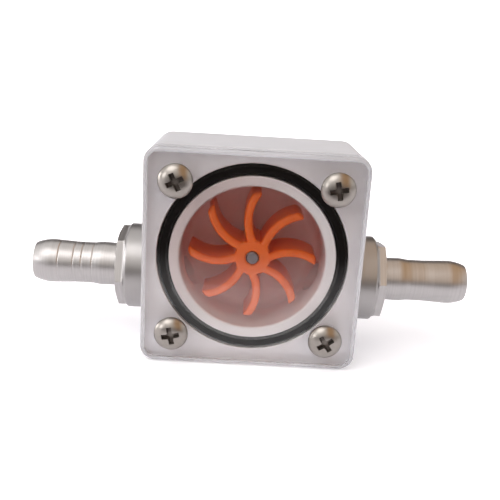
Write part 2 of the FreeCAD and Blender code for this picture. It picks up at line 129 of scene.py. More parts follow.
def skin(name, *sheets):
    """One mesh object from grids of points in millimetres. Each row of a grid closes into a loop, four
    neighbours make a face, and points that fall together, as at a pole or a seam, are merged."""
    points, faces, first = [], [], 0
    for sheet in sheets:
        rows, columns = sheet.shape[:2]
        row, column = np.meshgrid(np.arange(rows - 1), np.arange(columns), indexing="ij")
        here = first + row * columns + column
        beside = first + row * columns + (column + 1) % columns
        faces.append(np.stack([here, beside, beside + columns, here + columns], axis=-1).reshape(-1, 4))
        points.append(sheet.reshape(-1, 3))
        first += rows * columns
    mesh = bpy.data.meshes.new(name)
    mesh.from_pydata(np.concatenate(points).tolist(), [], np.concatenate(faces).tolist())
    shape = bmesh.new()
    shape.from_mesh(mesh)
    bmesh.ops.remove_doubles(shape, verts=shape.verts, dist=1e-4)
    bmesh.ops.recalc_face_normals(shape, faces=shape.faces)
    shape.to_mesh(mesh)
    shape.free()
    piece = bpy.data.objects.new(name, mesh)
    bpy.context.scene.collection.objects.link(piece)
    return piece


def combine(piece, operation, tools):
    """Cuts other meshes from a piece, or joins them to it, and keeps the result as its own mesh."""
    for tool in tools:
        step = piece.modifiers.new(tool.name, "BOOLEAN")
        step.operation, step.solver, step.object = operation, "MANIFOLD", tool
    graph = bpy.context.evaluated_depsgraph_get()
    mesh = bpy.data.meshes.new_from_object(piece.evaluated_get(graph))
    piece.modifiers.clear()
    piece.data = mesh
    for tool in tools:
        bpy.data.objects.remove(tool)


def smooth(piece, crease=32):
    """Smooth shading, broken at edges sharper than a number of degrees."""
    piece.data.shade_smooth()
    piece.data.set_sharp_from_angle(angle=math.radians(crease))


def around_x(profile, columns=128, centre=(port_y, port_z)):
    """A profile of radius and x carried once round a left-to-right axis through centre's y and z."""
    angle = np.linspace(0, 2 * math.pi, columns, endpoint=False)
    radius, x = np.array(profile, dtype=float).T[:, :, None]
    return np.stack([x + 0 * angle, centre[0] + radius * np.cos(angle),
                     centre[1] + radius * np.sin(angle)], axis=-1)


def rod(radius, first, last):
    """The profile of a closed rod between two places along its axis."""
    return [(0, first), (radius, first), (radius, last), (0, last)]


corners = [(x, centre_z + z) for x in (-screw_offset, screw_offset)
           for z in (-screw_offset, screw_offset)]
# The joint face is drawn a little into the cover, so that the two read as pressed together without air.
face_y = joint_y - joint_overlap
# The profiles run this far on over the flat of the joint face and of the back.
groove_margin, face_inset, back_inset = 0.5, 1.5, 3.0
block_angle = np.arctan2(*square_loop(half_width, corner_radius).T[::-1])
bored = eased([(0, pin_seat_end), (pin_seat_radius, pin_seat_end), (pin_seat_radius, chamber_floor),
               (chamber_radius, chamber_floor), (chamber_radius, face_y), (groove_inner, face_y),
               (groove_inner, groove_floor), (groove_outer, groove_floor), (groove_outer, face_y),
               (groove_outer + groove_margin, face_y)],
              [pin_seat_round, pin_seat_round, floor_fillet, mouth_round, *groove_rounds])
outside = eased([(face_inset, face_y), (0, face_y), (0, back_y - back_chamfer),
                 (back_chamfer, back_y), (back_inset, back_y)],
                [face_break, chamfer_round, chamfer_round])
housing = skin("housing_block", np.concatenate([
    around_y(bored, angle=block_angle), square_rows(outside, half_width, corner_radius),
    around_y([(0, back_y)], angle=block_angle)]))
cutters = [skin("water_way", around_x(rod(port_bore, -half_width - overshoot, half_width + overshoot)))]
cutters += [skin("port", around_x(rod(port_socket, side * (half_width - port_socket_depth),
                                      side * (half_width + overshoot)))) for side in (-1, 1)]
tapped = rod(tapped_radius, joint_y - overshoot, tapped_end)
cutters += [skin("tapped", around_y(tapped, centre=corner, columns=64)) for corner in corners]
combine(housing, "DIFFERENCE", cutters)
smooth(housing)


def linear(code):
    """An sRGB hex colour as linear red, green, blue and alpha."""
    part = np.array([int(code[place:place + 2], 16) for place in (1, 3, 5)]) / 255
    return (*np.where(part <= 0.04045, part / 12.92, ((part + 0.055) / 1.055) ** 2.4).tolist(), 1.0)


def add_node(tree, kind, inputs=None, **settings):
    """Adds one node. settings are its own properties; inputs gives, for each socket by name or number,
    a value or another node's output. A Mix node's two colours are its sockets 6 and 7."""
    made = tree.nodes.new(kind)
    for name, setting in settings.items():
        setattr(made, name, setting)
    for socket, given in (inputs or {}).items():
        if isinstance(given, bpy.types.NodeSocket):
            tree.links.new(given, made.inputs[socket])
        else:
            made.inputs[socket].default_value = given
    return made


def new_material(name, **surface):
    """A material with one principled shader, its sockets set by name, and its Object coordinates."""
    material = bpy.data.materials.new(name)
    material.use_nodes = True
    tree = material.node_tree
    shader = tree.nodes["Principled BSDF"]
    for socket, given in surface.items():
        shader.inputs[socket.replace("_", " ")].default_value = given
    place = add_node(tree, "ShaderNodeTexCoord").outputs["Object"]
    return material, tree, shader, place


def per_mm(size):
    """The scale at which a noise texture's features are about this many millimetres across."""
    return 1 / (size * MM)


# Blasted aluminium under a thick, clear anodic film, which scatters light: an even, matt pale grey. The
# blast pits are a tenth of a millimetre, drawn at a third so that they show. The joint face is bare and
# paler. Inside the seal groove it has the lathe's fine rings and is darker and pinker towards the upper
# left, and the chamber is tinted red, more so farther in.
blasted, tree, shader, place = new_material("blasted_anodised_aluminium")
blasted_wall, blasted_back = 0.5, 4.0
turned_fade = 0.3
milled_full, milled_gone = 0.3, 0.5
lathe_pitch = 0.45
land_tint_from, land_tint_to = -4.0, 18.0
rim_untinted, rim_tinted = 0.4, 1.2
tint_edge_swing, tint_edge_lean = 6.0, (-0.15, 1, 0)
chamber_tint_from, chamber_tint_to = -4.5, 5.5
pits = add_node(tree, "ShaderNodeTexNoise", {"Vector": place, "Scale": per_mm(0.33), "Detail": 2.0})
clouds = add_node(tree, "ShaderNodeTexNoise", {"Vector": place, "Scale": per_mm(7), "Detail": 4.0})
centred = add_node(tree, "ShaderNodeMapping", {"Vector": place, "Location": (0, 0, -centre_z * MM)})
split = add_node(tree, "ShaderNodeSeparateXYZ", {0: centred.outputs[0]})
behind = add_node(tree, "ShaderNodeMapRange", {
    "Value": split.outputs["Y"], "From Min": (back_y - blasted_back - 1) * MM,
    "From Max": (back_y - blasted_back) * MM, "To Max": half_width * MM})
flat_place = add_node(tree, "ShaderNodeCombineXYZ", {
    "X": split.outputs["X"], "Y": behind.outputs[0], "Z": split.outputs["Z"]})
reach = add_node(tree, "ShaderNodeVectorMath", {0: flat_place.outputs[0]}, operation="LENGTH")
turned_zone = add_node(tree, "ShaderNodeMapRange", {
    "Value": reach.outputs["Value"], "From Min": (groove_outer + turned_fade) * MM,
    "From Max": groove_outer * MM})
# A wave texture's phase runs at 20 radians a unit of length, so this scale gives one ring a pitch.
ring_scale = 2 * math.pi / 20 / (lathe_pitch * MM)
rings = add_node(tree, "ShaderNodeTexWave", {
    "Vector": flat_place.outputs[0], "Scale": ring_scale, "Distortion": 0.4},
    wave_type="RINGS", rings_direction="SPHERICAL")
tone = add_node(tree, "ShaderNodeMix", {
    "Factor": clouds.outputs[0], 6: linear("#d8d8de"), 7: linear("#dfdfe5")}, data_type="RGBA")
milled_zone = add_node(tree, "ShaderNodeMapRange", {
    "Value": split.outputs["Y"], "From Min": (face_y + milled_gone) * MM,
    "From Max": (face_y + milled_full) * MM})
milled = add_node(tree, "ShaderNodeMix", {
    "Factor": milled_zone.outputs[0], 6: tone.outputs[2], 7: linear("#e6e2e6")}, data_type="RGBA")
# The land is darker and pinker towards the upper left.
upper_left = add_node(tree, "ShaderNodeVectorMath", {
    0: centred.outputs[0], 1: (-0.8, 0, 0.6)}, operation="DOT_PRODUCT")
land_tint = add_node(tree, "ShaderNodeMapRange", {
    "Value": upper_left.outputs["Value"], "From Min": land_tint_from * MM, "From Max": land_tint_to * MM},
    interpolation_type="SMOOTHSTEP")
land = add_node(tree, "ShaderNodeMix", {
    "Factor": land_tint.outputs[0], 6: linear("#ebe6e8"), 7: linear("#d8caca")}, data_type="RGBA")
bare = add_node(tree, "ShaderNodeMix", {
    "Factor": turned_zone.outputs[0], 6: milled.outputs[2], 7: land.outputs[2]}, data_type="RGBA")
# The chamber's walls and floor are tinted red, more so farther in, and not at the front rim.
in_chamber = add_node(tree, "ShaderNodeMapRange", {
    "Value": reach.outputs["Value"], "From Min": (half_width - blasted_wall) * MM,
    "From Max": (half_width - 2 * blasted_wall) * MM})
inward = add_node(tree, "ShaderNodeVectorMath", {
    0: centred.outputs[0], 1: tint_edge_lean}, operation="DOT_PRODUCT")
tint_edge = add_node(tree, "ShaderNodeMath", {
    0: clouds.outputs[0], 1: tint_edge_swing * MM, 2: inward.outputs["Value"]}, operation="MULTIPLY_ADD")
chamber_tint_depth = add_node(tree, "ShaderNodeMapRange", {
    "Value": tint_edge.outputs[0], "From Min": chamber_tint_from * MM, "From Max": chamber_tint_to * MM},
    interpolation_type="SMOOTHSTEP")
off_face = add_node(tree, "ShaderNodeMapRange", {
    "Value": split.outputs["Y"], "From Min": (face_y + rim_untinted) * MM,
    "From Max": (face_y + rim_tinted) * MM, "To Max": chamber_tint_depth.outputs[0]})
chamber_tint_share = add_node(tree, "ShaderNodeMath", {
    0: in_chamber.outputs[0], 1: off_face.outputs[0]}, operation="MULTIPLY")
chamber_tint = add_node(tree, "ShaderNodeMix", {
    "Factor": clouds.outputs[0], 6: linear("#f0c6c2"), 7: linear("#f8d8d5")}, data_type="RGBA")
chamber_tinted = add_node(tree, "ShaderNodeMix", {
    "Factor": chamber_tint_share.outputs[0], 6: bare.outputs[2], 7: chamber_tint.outputs[2]}, data_type="RGBA")
tree.links.new(chamber_tinted.outputs[2], shader.inputs["Base Color"])
metal_share = add_node(tree, "ShaderNodeMapRange", {
    "Value": turned_zone.outputs[0], "To Min": 0.3, "To Max": 0.2})
tree.links.new(metal_share.outputs[0], shader.inputs["Metallic"])
polish = add_node(tree, "ShaderNodeMapRange", {
    "Value": clouds.outputs[0], "To Min": 0.5, "To Max": 0.62})
tree.links.new(polish.outputs[0], shader.inputs["Roughness"])
height = add_node(tree, "ShaderNodeMix", {
    "Factor": turned_zone.outputs[0], "A": pits.outputs[0], "B": rings.outputs[1]})
relief = add_node(tree, "ShaderNodeBump", {
    "Height": height.outputs[0], "Strength": 0.25, "Distance": 0.03 * MM})
tree.links.new(relief.outputs[0], shader.inputs["Normal"])


def dress(piece, material, slot, body, *nodes):
    """Brings a finished piece from millimetres to metres, gives it its material and its body, and hides
    the CAD nodes it stands for. The slot is not used."""
    piece.data.transform(Matrix.Scale(MM, 4))
    piece.data.materials.clear()
    piece.data.materials.append(material)
    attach(piece, body)
    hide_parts(*nodes)


dress(housing, blasted, "housing_aluminium", "housing", "body_block")

# Axle pin: a ground steel pin with chamfered ends, pressed into the chamber floor. The wheel runs on
# it, and its front end shows in the middle of the hub.
pin_low, pin_high = box_mm("axle_pin")
pin_radius = pin_high[0]
pin_chamfer, pin_round = 0.35, 0.06
pin_profile = eased([(0, pin_low[1]), (pin_radius - pin_chamfer, pin_low[1]),
                     (pin_radius, pin_low[1] + pin_chamfer), (pin_radius, pin_high[1] - pin_chamfer),
                     (pin_radius - pin_chamfer, pin_high[1]), (0, pin_high[1])], pin_round)
pin = skin("axle_pin_ground", around_y(pin_profile, columns=96))
smooth(pin)

# Ground steel: grey and fairly bright, with fine marks that make its cut-off end read as a dull disc.
ground, tree, shader, place = new_material("ground_steel", Metallic=1.0, Base_Color=linear("#857e82"))
streaks = add_node(tree, "ShaderNodeTexNoise", {"Vector": place, "Scale": per_mm(0.3), "Detail": 3.0})
dull = add_node(tree, "ShaderNodeMapRange", {
    "Value": streaks.outputs[0], "To Min": 0.28, "To Max": 0.5})
tree.links.new(dull.outputs[0], shader.inputs["Roughness"])
relief = add_node(tree, "ShaderNodeBump", {
    "Height": streaks.outputs[0], "Strength": 0.3, "Distance": 0.02 * MM})
tree.links.new(relief.outputs[0], shader.inputs["Normal"])
dress(pin, ground, "axle_steel", "housing", "axle_pin")

# Thrust washer: a thin plain washer turned from acetal rod. It lies loose on the pin, between the
# wheel's hub and the chamber floor.
washer_low, washer_high = box_mm("thrust_washer")
washer_radius, washer_bore, washer_round = washer_high[0], 1.55, 0.12
washer_profile = eased([(washer_bore, washer_low[1]), (washer_radius, washer_low[1]),
                        (washer_radius, washer_high[1]), (washer_bore, washer_high[1]),
                        (washer_bore, washer_low[1])], washer_round)
washer = skin("thrust_washer_turned", around_y(washer_profile, columns=96))
smooth(washer)

# Acetal: a milky white plastic with a dull, faintly turned face.
acetal, tree, shader, place = new_material("acetal", Base_Color=linear("#dcd9d2"), IOR=1.48)
grain = add_node(tree, "ShaderNodeTexNoise", {"Vector": place, "Scale": per_mm(0.4), "Detail": 2.0})
dull = add_node(tree, "ShaderNodeMapRange", {"Value": grain.outputs[0], "To Min": 0.4, "To Max": 0.55})
tree.links.new(dull.outputs[0], shader.inputs["Roughness"])
dress(washer, acetal, "washer_plastic", "housing", "thrust_washer")

# Wheel: moulded in one shot from orange plastic, eight blades bowed the same way on a plain hub. Their
# front edges lean back towards the tips, and every edge has the small round of a mould.
wheel_low, wheel_high = box_mm("impeller_wheel")
wheel_front, wheel_back = wheel_low[1], wheel_high[1]
hub_radius, hub_bore, hub_mouth = 3.9, 1.55, 0.4
hub_step = 1.2
hub_rounds = [0.1, 0.1, 0.2, 0.25, 0.1, 0.1]
hub_seam = wheel_front + 2
blade_count = 8
blade_thickness = 1.9
blade_bend = 10.5
bend_centre = (8.7, -9.1)
blade_tip = 15.0
blade_lean, blade_step = 2.0, 0.02
blade_rake = blade_lean / (chamber_radius - hub_radius)
mould_round = 0.8
root_fillet = 0.5
root_angle = math.radians(125)


def blade(turn):
    """One blade as a grid: a rounded rectangle carried outwards along an arc. Each point of the section
    has a place across the blade and one from front to back. Every row goes a share of the way round the
    bend to where that point would meet the tip circle, the section thickens near the hub by the depth
    of a quarter-round fillet, and past the end it shrinks round a quarter circle to close the tip."""
    rows_along, rows_tip = 44, 6
    quarter = np.linspace(0, math.pi / 2, 6)
    hold = 0.05
    arc_across = np.concatenate([[1], np.cos(quarter), [-hold / mould_round]])
    arc_depth = np.concatenate([[-hold / mould_round], np.sin(quarter), [1]])
    across = np.concatenate([arc_across, -arc_across[::-1], -arc_across, arc_across[::-1]])
    depth = np.concatenate([-arc_depth, -arc_depth[::-1], arc_depth, arc_depth[::-1]])
    side = np.repeat([1, -1, -1, 1], len(arc_across))
    at_back = np.repeat([0, 0, 1, 1], len(arc_across))

    share = np.concatenate([np.linspace(0, 1, rows_along), np.ones(rows_tip)])[:, None]
    fall = np.concatenate([np.zeros(rows_along),
                           np.linspace(0, math.pi / 2, rows_tip + 1)[1:]])[:, None]
    inset = mould_round * (1 - np.cos(fall))
    end = blade_tip - mould_round * (1 - np.sin(fall))

    def placed(half):
        offset = side * (half - mould_round) + across * mould_round
        offset = offset * (1 - inset / (blade_thickness / 2))
        bend = blade_bend + offset
        span = math.hypot(*bend_centre)
        heading = math.atan2(bend_centre[1], bend_centre[0])
        tip_angle = heading + np.arccos((end ** 2 - span ** 2 - bend ** 2) / (2 * span * bend))
        angle = root_angle + share * (tip_angle - root_angle)
        return bend_centre[0] + bend * np.cos(angle), bend_centre[1] + bend * np.sin(angle)

    x, z = placed(blade_thickness / 2)
    near = np.clip(hub_radius + root_fillet - np.hypot(x, z), 0, root_fillet)
    x, z = placed(blade_thickness / 2 + root_fillet - np.sqrt(root_fillet ** 2 - near ** 2))
    out = np.hypot(x, z)
    lean = blade_rake * np.clip(out - hub_radius, 0, None)
    front = wheel_front + blade_step + lean + mould_round + inset
    back = wheel_back - hub_step - mould_round - inset
    y = np.where(at_back, back, front) + depth * (mould_round - inset)
    spin = (x + 1j * z) * np.exp(1j * turn)
    grid = np.stack([spin.real, y, centre_z + spin.imag], axis=-1)
    root, tip = grid[:1].mean(axis=1, keepdims=True), grid[-1:].mean(axis=1, keepdims=True)
    columns = (1, grid.shape[1], 1)
    return np.concatenate([np.tile(root, columns), grid, np.tile(tip, columns)])


hub_profile = eased([(hub_bore, hub_seam), (hub_bore, wheel_front + hub_mouth),
                     (hub_bore + hub_mouth, wheel_front), (hub_radius, wheel_front),
                     (hub_radius, wheel_back), (hub_bore + hub_mouth, wheel_back),
                     (hub_bore, wheel_back - hub_mouth), (hub_bore, hub_seam)], hub_rounds)
wheel = skin("wheel_moulded", around_y(hub_profile))
combine(wheel, "UNION", [skin("blade", blade(2 * math.pi * number / blade_count))
                         for number in range(blade_count)])
smooth(wheel, crease=40)

# Orange acetal, moulded: strong colour, a soft gloss, and a little light carried through the thin
# edges.
orange, tree, shader, place = new_material(
    "orange_moulded_plastic", IOR=1.48, Subsurface_Weight=0.15, Subsurface_Scale=1.5 * MM,
    Subsurface_Radius=(1.0, 0.35, 0.12))
flow = add_node(tree, "ShaderNodeTexNoise", {"Vector": place, "Scale": per_mm(5), "Detail": 3.0})
tone = add_node(tree, "ShaderNodeMix", {
    "Factor": flow.outputs[0], 6: linear("#ee661b"), 7: linear("#f87224")}, data_type="RGBA")
tree.links.new(tone.outputs[2], shader.inputs["Base Color"])
gloss = add_node(tree, "ShaderNodeMapRange", {"Value": flow.outputs[0], "To Min": 0.24, "To Max": 0.38})
tree.links.new(gloss.outputs[0], shader.inputs["Roughness"])
sink = add_node(tree, "ShaderNodeTexNoise", {"Vector": place, "Scale": per_mm(1.6), "Detail": 2.0})
relief = add_node(tree, "ShaderNodeBump", {
    "Height": sink.outputs[0], "Strength": 0.2, "Distance": 0.05 * MM})
tree.links.new(relief.outputs[0], shader.inputs["Normal"])
dress(wheel, orange, "wheel_plastic", "impeller", "impeller_wheel")

# Cover seal: an O-ring moulded from black rubber, laid in the block's groove and squeezed flat by the
# cover, which it touches all round.
ring_outer, ring_back = box_mm("cover_seal_ring")[1][:2]
ring_inner = 19.3
ring_overlap = 0.01


def ring_section(inner, outer, front, back, columns=56):
    """The section of a squeezed ring as radius and depth: an oval a little deeper than its gap, cut
    flat where the gap's two walls press it."""
    turn = np.linspace(0, 2 * math.pi, columns + 1)
    swell = 1.18
    radius = (inner + outer) / 2 + np.cos(turn) * (outer - inner) / 2
    depth = (front + back) / 2 + swell * np.sin(turn) * (back - front) / 2
    return np.stack([radius, np.clip(depth, front, back)], axis=-1)


cover_seal = skin("cover_seal_moulded", around_y(
    ring_section(ring_inner, ring_outer, joint_y - ring_overlap, ring_back), columns=256))
smooth(cover_seal, crease=60)

# Nitrile rubber, moulded: near black, a soft sheen, and a fine mould skin.
nitrile, tree, shader, place = new_material("nitrile_rubber", IOR=1.52, Specular_IOR_Level=0.06)
skin_grain = add_node(tree, "ShaderNodeTexNoise", {
    "Vector": place, "Scale": per_mm(0.5), "Detail": 3.0})
tone = add_node(tree, "ShaderNodeMix", {
    "Factor": skin_grain.outputs[0], 6: linear("#060405"), 7: linear("#0d0a0b")}, data_type="RGBA")
tree.links.new(tone.outputs[2], shader.inputs["Base Color"])
dull = add_node(tree, "ShaderNodeMapRange", {
    "Value": skin_grain.outputs[0], "To Min": 0.36, "To Max": 0.55})
tree.links.new(dull.outputs[0], shader.inputs["Roughness"])
relief = add_node(tree, "ShaderNodeBump", {
    "Height": skin_grain.outputs[0], "Strength": 0.2, "Distance": 0.03 * MM})
tree.links.new(relief.outputs[0], shader.inputs["Normal"])
dress(cover_seal, nitrile, "seal_rubber", "housing", "cover_seal_ring")

# Clear cover: a plate of cast acrylic, routed to the block's outline, its front edge rounded over, and
# drilled for the screws that clamp it on the block and the seal.
cover_front = box_mm("front_cover")[0][1]
cover_round, cover_break = 1.1, 0.05
cover_inset = 3.0
hole_radius = 2.2
frost_width = 1.05
plate = eased([(cover_inset, cover_front), (0, cover_front), (0, joint_y), (cover_inset, joint_y)],
              [cover_round, cover_break], steps=8)
cover = skin("clear_cover_plate", np.concatenate([
    around_y([(0, cover_front)], angle=block_angle), square_rows(plate, half_width, corner_radius),
    around_y([(0, joint_y)], angle=block_angle)]))
hole = rod(hole_radius, cover_front - overshoot, joint_y + overshoot)
combine(cover, "DIFFERENCE", [skin("hole", around_y(hole, centre=corner, columns=64))
                              for corner in corners])
smooth(cover)

# Cast acrylic: clear and colourless, its faces polished and faintly hazed by handling.
acrylic, tree, shader, place = new_material(
    "cast_acrylic", Base_Color=linear("#ffffff"), IOR=1.49, Transmission_Weight=1.0)
wiped = add_node(tree, "ShaderNodeTexNoise", {"Vector": place, "Scale": per_mm(9), "Detail": 4.0})
haze = add_node(tree, "ShaderNodeMapRange", {"Value": wiped.outputs[0], "To Min": 0.01, "To Max": 0.04})
tree.links.new(haze.outputs[0], shader.inputs["Roughness"])

# The same acrylic where the router cut it, on the sides and the rounded front edge: fine tool marks
# scatter the light, so that it looks frosted.
frosted, tree, shader, place = new_material(
    "cut_acrylic_edge", IOR=1.49, Transmission_Weight=0.7, Roughness=0.25)
marks = add_node(tree, "ShaderNodeTexNoise", {"Vector": place, "Scale": per_mm(0.5), "Detail": 3.0})
tone = add_node(tree, "ShaderNodeMix", {
    "Factor": marks.outputs[0], 6: linear("#eceef4"), 7: linear("#f6f7fb")}, data_type="RGBA")
tree.links.new(tone.outputs[2], shader.inputs["Base Color"])
relief = add_node(tree, "ShaderNodeBump", {
    "Height": marks.outputs[0], "Strength": 0.05, "Distance": 0.03 * MM})
tree.links.new(relief.outputs[0], shader.inputs["Normal"])

dress(cover, acrylic, "clear_cover", "housing", "front_cover")
cover.data.materials.append(frosted)
middles = np.empty(3 * len(cover.data.polygons))
cover.data.polygons.foreach_get("center", middles)
middles = middles.reshape(-1, 3) / MM
farther = np.maximum(np.abs(middles[:, 0]), np.abs(middles[:, 2] - centre_z))
slanted = np.hypot(*(np.abs(middles[:, (0, 2)] - (0, centre_z)) - half_width + corner_radius).clip(0).T)
at_edge = (farther > half_width - frost_width) | (slanted > corner_radius - frost_width)
cover.data.polygons.foreach_set("material_index", at_edge.astype(np.int32))

# Cover screws: four M4 pan-head machine screws with a cross recess, cold headed and thread rolled from
# stainless wire, drawn down on the cover.
screw_turns = {"top_left": 27, "top_right": 12, "bottom_left": 12, "bottom_right": 34}
head_radius, head_rim, head_lip = 3.9, 0.8, 0.1
dome_crown, dome_fall = 2.7, 0.72
shank_radius, thread_pitch, thread_depth = 2.0, 0.7, 0.4
tip_chamfer = 0.5
recess_reach, recess_half, recess_depth, recess_draft = 2.05, 0.58, 1.5, 0.18
recess_rise, recess_blend, recess_edge = 0.3, 0.12, 2.7


def smooth_step(value):
    """Rises from 0 to 1 as value does, with level ends."""
    value = np.clip(value, 0, 1)
    return value * value * (3 - 2 * value)


def screw_grid(name):
    """A screw as one grid of rings. On the head the height falls from a flattened dome to the rim, less
    the recess: the depth inside a cross of two bars, whose inner corners are blended, its walls leaning
    by the draft and its floor rising outwards. On the shank the radius follows a helix: depth times a
    cosine of the turn plus the way along over the pitch."""
    low, high = box_mm(f"cover_screw_{name}")
    centre = (low + high) / 2
    turn = math.radians(screw_turns[name])
    angle = np.linspace(0, 2 * math.pi, 168, endpoint=False)[None, :]

    radius = np.concatenate([np.linspace(0, recess_edge, 64),
                             np.linspace(recess_edge, head_radius, 26)[1:]])[:, None]
    dome = (1 - (radius / head_radius) ** dome_crown) ** dome_fall
    dome = head_rim + (cover_front - low[1] - head_rim) * dome
    across, along = np.abs(radius * np.cos(angle - turn)), np.abs(radius * np.sin(angle - turn))
    bars = [np.maximum(first - recess_reach, second - recess_half)
            for first, second in ((across, along), (along, across))]
    inside = -recess_blend * np.log(np.exp(-bars[0] / recess_blend) + np.exp(-bars[1] / recess_blend))
    floor = recess_depth * (1 - recess_rise * np.clip(radius / recess_reach, 0, 1) ** 2)
    head_y = cover_front - dome + floor * smooth_step(-inside / recess_draft)
    head_radius_rows = radius + 0 * angle

    along_shank = np.linspace(0, high[1] - cover_front, 200)[:, None]
    helix = 0.5 + 0.5 * np.cos(2 * math.pi * along_shank / thread_pitch + angle)
    run_in = np.clip(along_shank / thread_pitch - 1, 0, 1)
    point = np.clip((along_shank - (high[1] - cover_front - tip_chamfer)), 0, None)
    shank = shank_radius - run_in * thread_depth * helix - point
    shank_y = cover_front + along_shank + 0 * angle

    under = np.full((1, angle.size), cover_front)
    rows = np.concatenate([head_radius_rows, np.full((1, angle.size), head_radius - head_lip), shank,
                           np.zeros((1, angle.size))])
    depth = np.concatenate([head_y, under, shank_y, shank_y[-1:]])
    return np.stack([centre[0] + rows * np.cos(angle), depth,
                     centre[2] + rows * np.sin(angle)], axis=-1)


# Stainless steel, cold headed and tumbled: bright with a warm cast and small dents. Shade is painted
# into the cross recess, darker and less metallic, and weaker in its middle.
stainless, tree, shader, place = new_material("tumbled_stainless_steel")
# Both measured forward from the frame's origin, as the folded place is.
recess_shade_from, recess_shade_full = 16.9, 16.5
recess_shade_reach = recess_reach + 0.2
middle_lift_inner, middle_lift_outer = 0.35, 1.0
dents = add_node(tree, "ShaderNodeTexNoise", {"Vector": place, "Scale": per_mm(0.9), "Detail": 3.0})
tone = add_node(tree, "ShaderNodeMix", {
    "Factor": dents.outputs[0], 6: linear("#938d88"), 7: linear("#a39d98")}, data_type="RGBA")
centred = add_node(tree, "ShaderNodeMapping", {"Vector": place, "Location": (0, 0, -centre_z * MM)})
folded = add_node(tree, "ShaderNodeVectorMath", {0: centred.outputs[0]}, operation="ABSOLUTE")
local = add_node(tree, "ShaderNodeMapping", {
    "Vector": folded.outputs[0], "Location": (-screw_offset * MM, 0, -screw_offset * MM)})
split = add_node(tree, "ShaderNodeSeparateXYZ", {0: local.outputs[0]})
flat_place = add_node(tree, "ShaderNodeCombineXYZ", {"X": split.outputs["X"], "Z": split.outputs["Z"]})
reach = add_node(tree, "ShaderNodeVectorMath", {0: flat_place.outputs[0]}, operation="LENGTH")
# Painted shade in the cross recess: darker and less metallic, and weaker towards the middle.
in_recess = add_node(tree, "ShaderNodeMath", {
    0: reach.outputs["Value"], 1: recess_shade_reach * MM}, operation="LESS_THAN")
sunk = add_node(tree, "ShaderNodeMapRange", {
    "Value": split.outputs["Y"], "From Min": recess_shade_from * MM, "From Max": recess_shade_full * MM})
middle_lift = add_node(tree, "ShaderNodeMapRange", {
    "Value": reach.outputs["Value"], "From Min": middle_lift_inner * MM, "From Max": middle_lift_outer * MM,
    "To Min": 0.55})
recess_shade_base = add_node(tree, "ShaderNodeMath", {
    0: in_recess.outputs[0], 1: sunk.outputs[0]}, operation="MULTIPLY")
recess_shade = add_node(tree, "ShaderNodeMath", {
    0: recess_shade_base.outputs[0], 1: middle_lift.outputs[0]}, operation="MULTIPLY")
shaded_tone = add_node(tree, "ShaderNodeMix", {
    "Factor": recess_shade.outputs[0], 6: tone.outputs[2], 7: linear("#453b34")}, data_type="RGBA")
tree.links.new(shaded_tone.outputs[2], shader.inputs["Base Color"])
shade_metallic = add_node(tree, "ShaderNodeMapRange", {"Value": recess_shade.outputs[0], "To Min": 1.0, "To Max": 0.2})
tree.links.new(shade_metallic.outputs[0], shader.inputs["Metallic"])
polish = add_node(tree, "ShaderNodeMapRange", {
    "Value": dents.outputs[0], "To Min": 0.26, "To Max": 0.38})
tree.links.new(polish.outputs[0], shader.inputs["Roughness"])
relief = add_node(tree, "ShaderNodeBump", {
    "Height": dents.outputs[0], "Strength": 0.25, "Distance": 0.03 * MM})
tree.links.new(relief.outputs[0], shader.inputs["Normal"])

for name in screw_turns:
    screw = skin(f"pan_screw_{name}", screw_grid(name))
    smooth(screw, crease=40)
    dress(screw, stainless, "screw_steel", "housing", f"cover_screw_{name}")

# Port seals: a small O-ring of the same black rubber in the face of each fitting's flange, squeezed
# against the block's side.
port_seal_inner = 7.3
for name in ("inlet", "outlet"):
    low, high = box_mm(f"{name}_seal_ring")
    port_seal_outer = (high[1] - low[1]) / 2
    port_seal = skin(f"{name}_seal_moulded", around_x(
        ring_section(port_seal_inner, port_seal_outer, low[0], high[0])))
    smooth(port_seal, crease=60)
    dress(port_seal, nitrile, "seal_rubber", "housing", f"{name}_seal_ring")

# Hose fittings: turned from hexagon brass bar and nickel plated. A spigot screws into the block, its
# thread out of sight and not drawn. Then come a round flange with a seal groove, a hexagon for the
# spanner and a stepped, barbed hose tail.
hex_corner_angle = {"inlet": 9, "outlet": 53}
spigot_radius, spigot_length, spigot_chamfer = 6.55, 5.75, 0.5
bore_seam = -spigot_length + 1
edge_break, bore_round = 0.1, 0.2
flange_radius = (fitting_high[1] - fitting_low[1]) / 2
flange_thickness, flange_chamfer, flange_lip = 5.15, 0.6, 0.05
flange_rounds = [0.2, 0.15, 0.05]
seal_inner, seal_outer, seal_depth = 7.2, 9.1, 1.2
hex_end, hex_flat, hex_bevel, hex_foot = 7.25, 8.5, 0.25, 0.4
hex_soft, hex_overlap, hex_lip = 0.03, 0.1, 0.02
tail_end = fitting_high[0] - half_width
nose_radius, nose_length = 4.4, 4.3
nose_round, nose_mouth_rounds = 0.2, [0.12, 0.1]
crest_radius, fall_length = 5.3, 5.7
root_radius, root_length = 5.0, 4.1
neck_radius = 5.15
collar_ramp = 1.9
tail_blend = 0.7
score_marks = {"inlet": (6.1, 9.7, 11.7, 14.25), "outlet": ()}
score_depth, score_half, score_reach = 0.08, 0.12, 0.3


